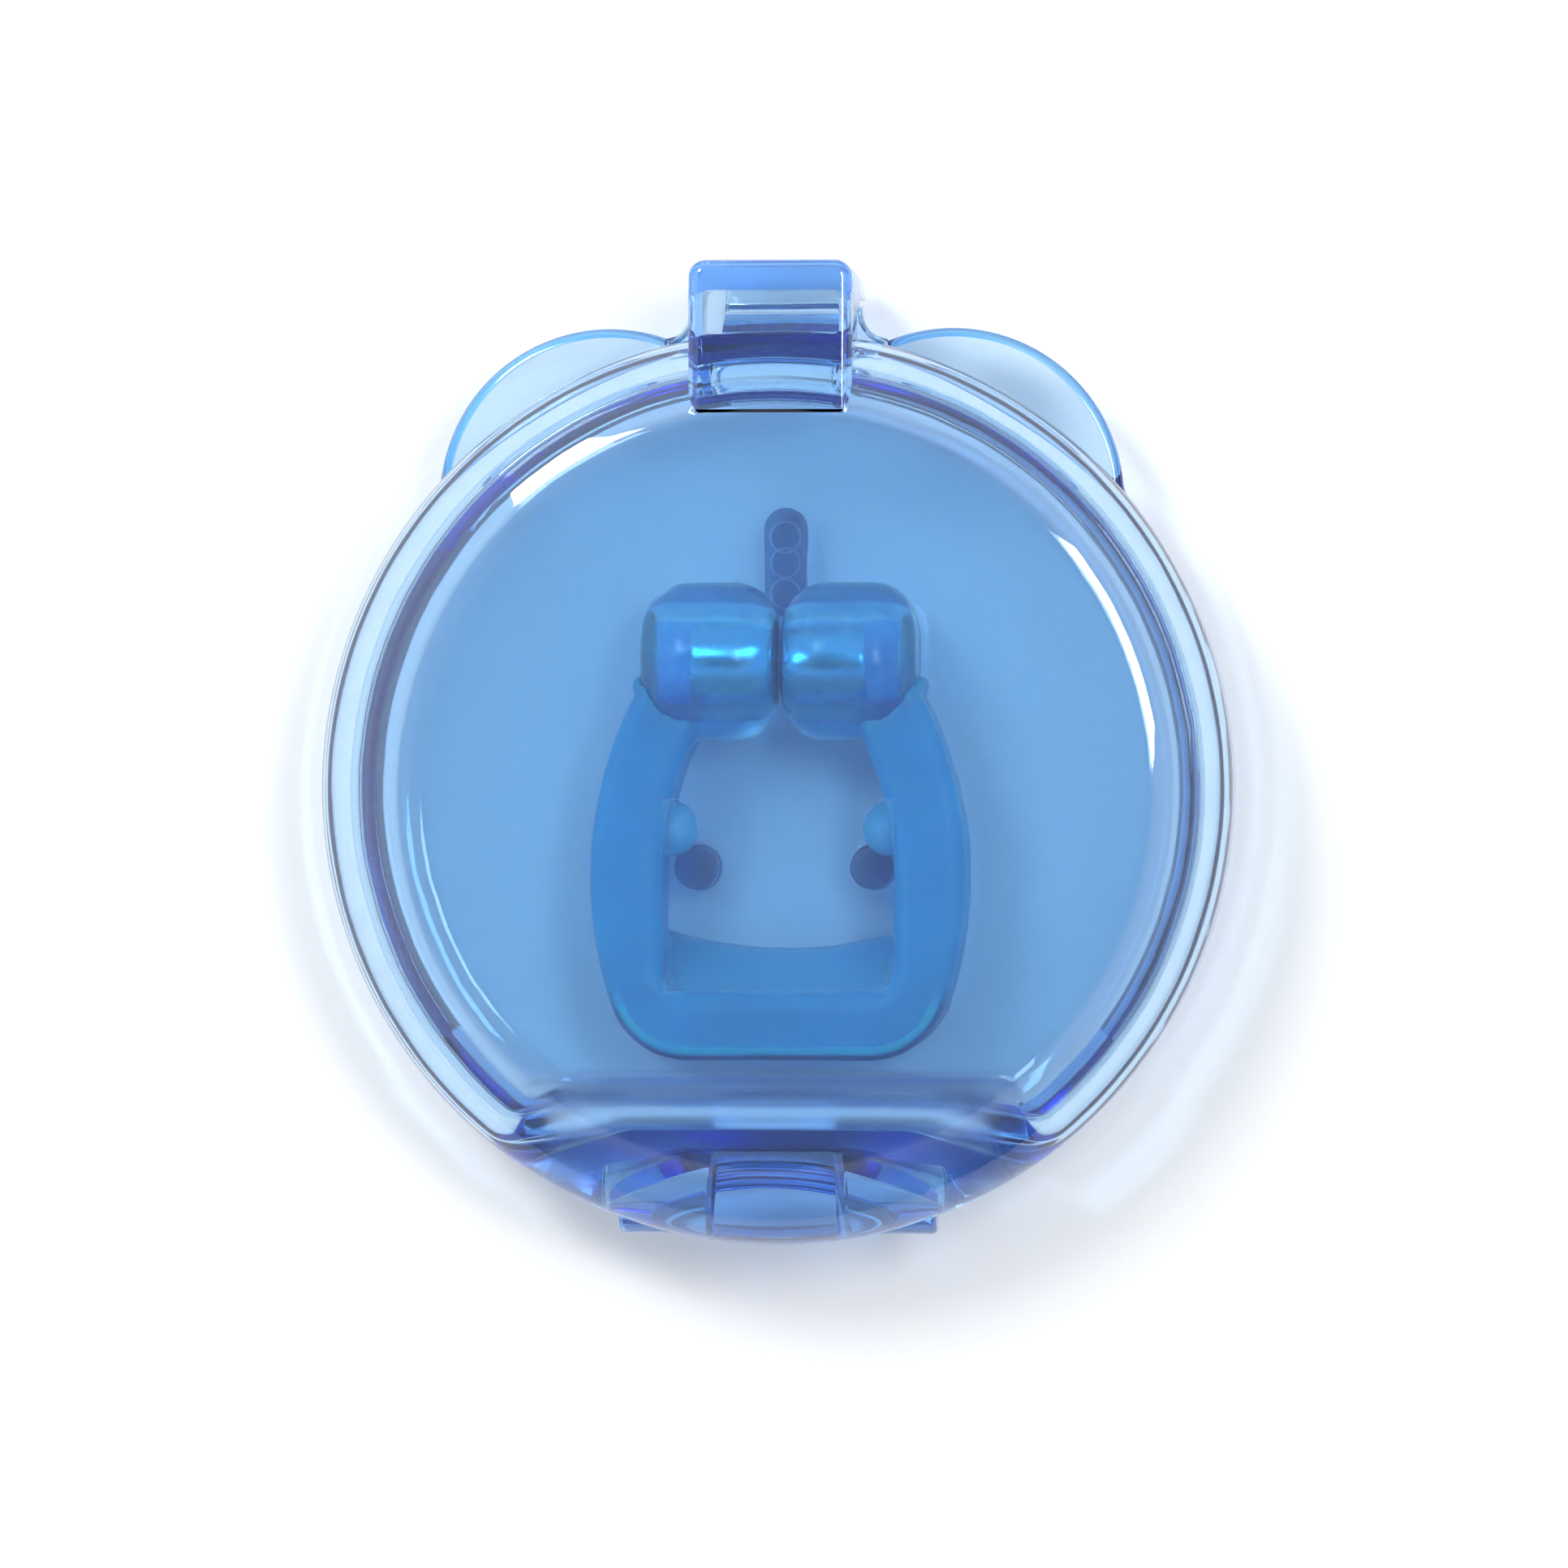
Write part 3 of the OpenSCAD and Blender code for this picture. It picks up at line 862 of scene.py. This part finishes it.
def plated_metal(name):
    """Satin nickel plating with faint turning marks round the magnet's axis."""
    n = Nodes(name)
    n.bsdf.inputs["Metallic"].default_value = 1
    n.bsdf.inputs["Base Color"].default_value = (0.72, 0.75, 0.76, 1)
    place = n.add("ShaderNodeTexCoord")
    stretch = n.add("ShaderNodeMapping")
    stretch.inputs["Scale"].default_value = (6, 0.4, 0.4)
    n.join(place.outputs["Object"], stretch.inputs["Vector"])
    noise = n.add("ShaderNodeTexNoise", Scale=900, Detail=4)
    n.join(stretch.outputs["Vector"], noise.inputs["Vector"])
    n.join(n.ramp(noise.outputs["Fac"], 0.12, 0.18), n.bsdf.inputs["Roughness"])
    n.bump(noise.outputs["Fac"], 0.06, 0.00002)
    return n.material


def pale_paper(name):
    """Matt white paper for the floor."""
    n = Nodes(name)
    n.bsdf.inputs["Base Color"].default_value = (0.9, 0.9, 0.9, 1)
    n.join(n.ramp(n.noise(60, 3), 0.6, 0.75), n.bsdf.inputs["Roughness"])
    return n.material


def back_wall_painted_shade(n):
    """A greyer satin patch of painted shade on the inside of the back wall, below the lid's outer
    face, standing in for the dark band that the wall shows there by reflection.
    """
    x, y, z = n.place()
    across = n.all_of(
        n.fade(y, 2.6 - cavity_back, 1.5 - cavity_back), n.fade(y, -17.2, -16.6)
    )
    inside = n.all_of(n.fade(x, 11.5, 9.0), n.within(z, floor_z - 0.1, lid_ceiling + 0.06))
    # Painted shade: a greyer satin patch standing in for the dark band that the back wall shows by
    # reflection.
    satin_and_painted_light_patch(n, n.all_of(across, inside), (0.42, 0.54, 0.68), 0.32)


def base_finish():
    """Clear plastic with satin posts darkened by painted shade and ringed by painted highlights at
    the ejector marks, pale satin ears greyed by painted shade with a painted bright edge, and
    painted shade on the back wall.
    """
    n = clear_plastic("clear_blue_base")
    x, y, z = n.place()
    on_rib = n.all_of(
        n.within(x, -1, rib_half + 0.05), n.within(y, 6.5, rib_y[1] + rib_half + 0.1)
    )
    on_peg = n.math("LESS_THAN", n.far_from(x, y, peg), peg[2] + 0.05)
    above_floor = n.math("GREATER_THAN", z, floor_z + 0.03)
    posts = n.all_of(n.math("MAXIMUM", on_rib, on_peg), above_floor)
    # Painted shade: the dark blue on the rib and peg stands in for the dark reflection they show;
    # the satin roughness is their own finish.
    satin_and_painted_light_patch(n, posts, (0.07, 0.19, 0.36), 0.3)
    for middle, _ in marks:
        from_middle = n.far_from(x, y, (0, middle))
        ring = n.all_of(n.within(from_middle, mark_r - 0.1, mark_r), posts)
        # Painted highlight: a lighter ring at the rim of each ejector mark.
        satin_and_painted_light_patch(n, ring, (0.42, 0.62, 0.82), 0.2)
    outside = n.math("GREATER_THAN", n.far_from(x, y, (0, 0)), case_r + 0.06)
    ear = n.all_of(outside, n.within(y, 5, 30), n.within(z, *ear_z))
    # The satin finish is the ears' own; their greyer tint is painted shade, standing in for the
    # shaded floor seen through them.
    satin_and_painted_light_patch(n, ear, (0.76, 0.80, 0.86), 0.08)
    # Painted light: a bright blue band round the ear's rounded outer edge, standing in for the
    # light it refracts.
    ear_rim_painted_light = n.fade(n.far_from(x, y, ear_middle), ear_r - 0.5, ear_r - 0.4)
    satin_and_painted_light_patch(n, n.all_of(ear, ear_rim_painted_light), (0.20, 0.60, 0.95), 0.1)
    back_wall_painted_shade(n)
    return n.material


def lid_finish():
    n = clear_plastic("clear_blue_lid")
    back_wall_painted_shade(n)
    return n.material


def arm_finish():
    """Paler where the silicone is thin, with a painted highlight band inside a painted dark band
    along the bridge's back edge.
    """
    n = silicone("frosted_silicone", (0.02, 0.42, 0.74), 0.5, 0.4)
    x, y, _ = n.place()
    web_start = bridge_t - clip_back
    web = n.all_of(
        n.fade(y, web_start, web_start + 0.4), n.fade(y, web_start + 3.4, web_start + 3),
        n.fade(x, inner_x, inner_x - 0.25),
    )
    from_bump = n.far_from(x, y, (bump[0], bump[1] - clip_back))
    knob = n.all_of(
        n.fade(from_bump, bump[2] + 0.15, bump[2]), n.math("LESS_THAN", x, inner_x)
    )
    satin_and_painted_light_patch(n, n.math("MAXIMUM", web, knob), (0.14, 0.60, 0.88), 0.25)
    past = n.math("MAXIMUM", n.math("SUBTRACT", x, corner_x), 0.0)
    reach = n.far_from(past, y, (0, corner_r - clip_back))
    at_back = n.fade(y, 3.7 - clip_back, 2.1 - clip_back)
    # Painted highlight: a bright band just inside the bridge's rounded back edge.
    painted_highlight_band = n.all_of(n.within(reach, corner_r - 0.66, corner_r - 0.27), at_back)
    satin_and_painted_light_patch(n, painted_highlight_band, (0.04, 0.66, 1.0), 0.2)
    # Painted shade: a dark band along the bridge's rounded back edge.
    edge = n.all_of(n.math("GREATER_THAN", reach, corner_r - 0.25), at_back)
    satin_and_painted_light_patch(n, edge, (0.01, 0.17, 0.42), 0.3)
    return n.material


# ---- Pieces ----

base_plastic = base_finish()
lid_plastic = lid_finish()
arm_silicone = arm_finish()
head_silicone = silicone("glossy_silicone", (0.22, 0.68, 0.95), 0.9, 0.2).material
metal = plated_metal("nickel_plate")

base_piece = finish_piece(build_base(), "case_base_shell", base_plastic)
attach(base_piece, "case")
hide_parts("case_base")

lid_piece = finish_piece(build_lid(), "case_lid_shell", lid_plastic)
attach(lid_piece, "lid")
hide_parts("case_lid")

arms_piece = finish_piece(build_arms(), "clip_arms", arm_silicone, 80)
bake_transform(arms_piece)
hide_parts("clip_left", "clip_right")

for side, word in ((-1, "left"), (1, "right")):
    head = finish_piece(build_head(side), f"clip_head_{word}", head_silicone, 40)
    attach(head, f"clip_{word}_arm")
    magnet = finish_piece(build_magnet(side), f"magnet_body_{word}", metal)
    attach(magnet, f"clip_{word}_arm")
    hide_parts(f"magnet_{word}")


# ---- Floor, light and camera ----

def build_floor():
    half, drop = 1.5, 0.00002
    corners = [(-half, -half, 0), (half, -half, 0), (half, half, 0), (-half, half, 0)]
    floor = link_mesh("floor", corners, [(0, 1, 2, 3)])
    floor.location.z = -drop
    floor.data.materials.append(pale_paper("pale_floor"))


def soft_light(name, azimuth, elevation, size, power):
    """A rectangular soft light that faces the object from half a metre away."""
    light = bpy.data.lights.new(name, "AREA")
    light.shape, light.size, light.size_y, light.energy = "RECTANGLE", size[0], size[1], power
    made = bpy.data.objects.new(name, light)
    a, e, distance = math.radians(azimuth), math.radians(elevation), 0.5
    towards = math.cos(a) * math.cos(e), math.sin(a) * math.cos(e), math.sin(e)
    made.location = [distance * c for c in towards]
    made.rotation_euler = (-made.location).to_track_quat("-Z", "Y").to_euler()
    scene.collection.objects.link(made)


def build_world():
    """A studio's surroundings: soft light all round from above, a dark low horizon and a dark
    side behind the hinge. They look pale to the camera itself."""
    world = bpy.data.worlds.new("studio")
    scene.world = world
    world.use_nodes = True
    tree = world.node_tree

    def join(source, target):
        tree.links.new(source, target)

    def scaled(source, low, high, low_to, high_to):
        node = tree.nodes.new("ShaderNodeMapRange")
        node.interpolation_type = "SMOOTHSTEP"
        keys = "From Min", "From Max", "To Min", "To Max"
        for key, value in zip(keys, (low, high, low_to, high_to)):
            node.inputs[key].default_value = value
        join(source, node.inputs["Value"])
        return node.outputs["Result"]

    place = tree.nodes.new("ShaderNodeTexCoord")
    split = tree.nodes.new("ShaderNodeSeparateXYZ")
    ramp = tree.nodes.new("ShaderNodeValToRGB")
    join(place.outputs["Generated"], split.inputs["Vector"])
    join(split.outputs["Z"], ramp.inputs["Fac"])
    stops = [
        (0.0, 0.04), (0.22, 0.1), (0.4, 0.9), (0.86, 1.2), (0.925, 1.2), (0.958, 0.12), (1.0, 0.06),
    ]
    while len(ramp.color_ramp.elements) < len(stops):
        ramp.color_ramp.elements.new(0.5)
    for element, (at, level) in zip(ramp.color_ramp.elements, stops):
        element.position = at
        element.color = (level, level, level * 1.02, 1)
    behind = scaled(split.outputs["Y"], -0.7, -0.25, 0.3, 1.0)
    low = scaled(split.outputs["Z"], 0.3, 0.45, 0.9, 0.0)
    left = tree.nodes.new("ShaderNodeMath")
    left.operation = "MULTIPLY_ADD"
    join(scaled(split.outputs["X"], -0.2, 0.45, 1.0, 0.0), left.inputs[0])
    join(low, left.inputs[1])
    join(ramp.outputs["Color"], left.inputs[2])
    dim = tree.nodes.new("ShaderNodeMath")
    dim.operation = "MULTIPLY"
    join(left.outputs[0], dim.inputs[0])
    join(behind, dim.inputs[1])
    seen = tree.nodes.new("ShaderNodeMix")
    seen.data_type = "RGBA"
    seen.inputs["B"].default_value = (1.3, 1.31, 1.33, 1)
    path = tree.nodes.new("ShaderNodeLightPath")
    join(path.outputs["Is Camera Ray"], seen.inputs["Factor"])
    join(dim.outputs[0], seen.inputs["A"])
    background = tree.nodes["Background"]
    background.inputs["Strength"].default_value = 1.02
    join(seen.outputs["Result"], background.inputs["Color"])


def build_camera():
    """Almost straight above, a little to the right, as the object was photographed."""
    camera = bpy.data.cameras.new("camera")
    made = bpy.data.objects.new("camera", camera)
    scene.collection.objects.link(made)
    tilt, distance, view_w = math.radians(4.3), 0.42, 0.0737
    aim = np.array([0.0002, 0.0002, 0.0065])
    back = np.array([math.sin(tilt), 0, math.cos(tilt)])
    made.location = aim + distance * back
    made.rotation_euler = (0, tilt, 0)
    camera.sensor_width = 36
    camera.lens = 36 / (view_w / distance)
    camera.clip_start, camera.clip_end = 0.01, 10
    scene.camera = made


build_floor()
build_world()
soft_light("key", 130, 60, (0.07, 0.15), 0.75)
soft_light("fill", 26, 69, (0.13, 0.08), 0.65)
build_camera()
scene.view_settings.view_transform = "Standard"
scene.cycles.max_bounces = 40
scene.cycles.transmission_bounces = 40
scene.cycles.transparent_max_bounces = 16
scene.cycles.glossy_bounces = 12
scene.cycles.diffuse_bounces = 4
scene.cycles.volume_bounces = 0
scene.cycles.blur_glossy = 0
scene.cycles.use_denoising = True
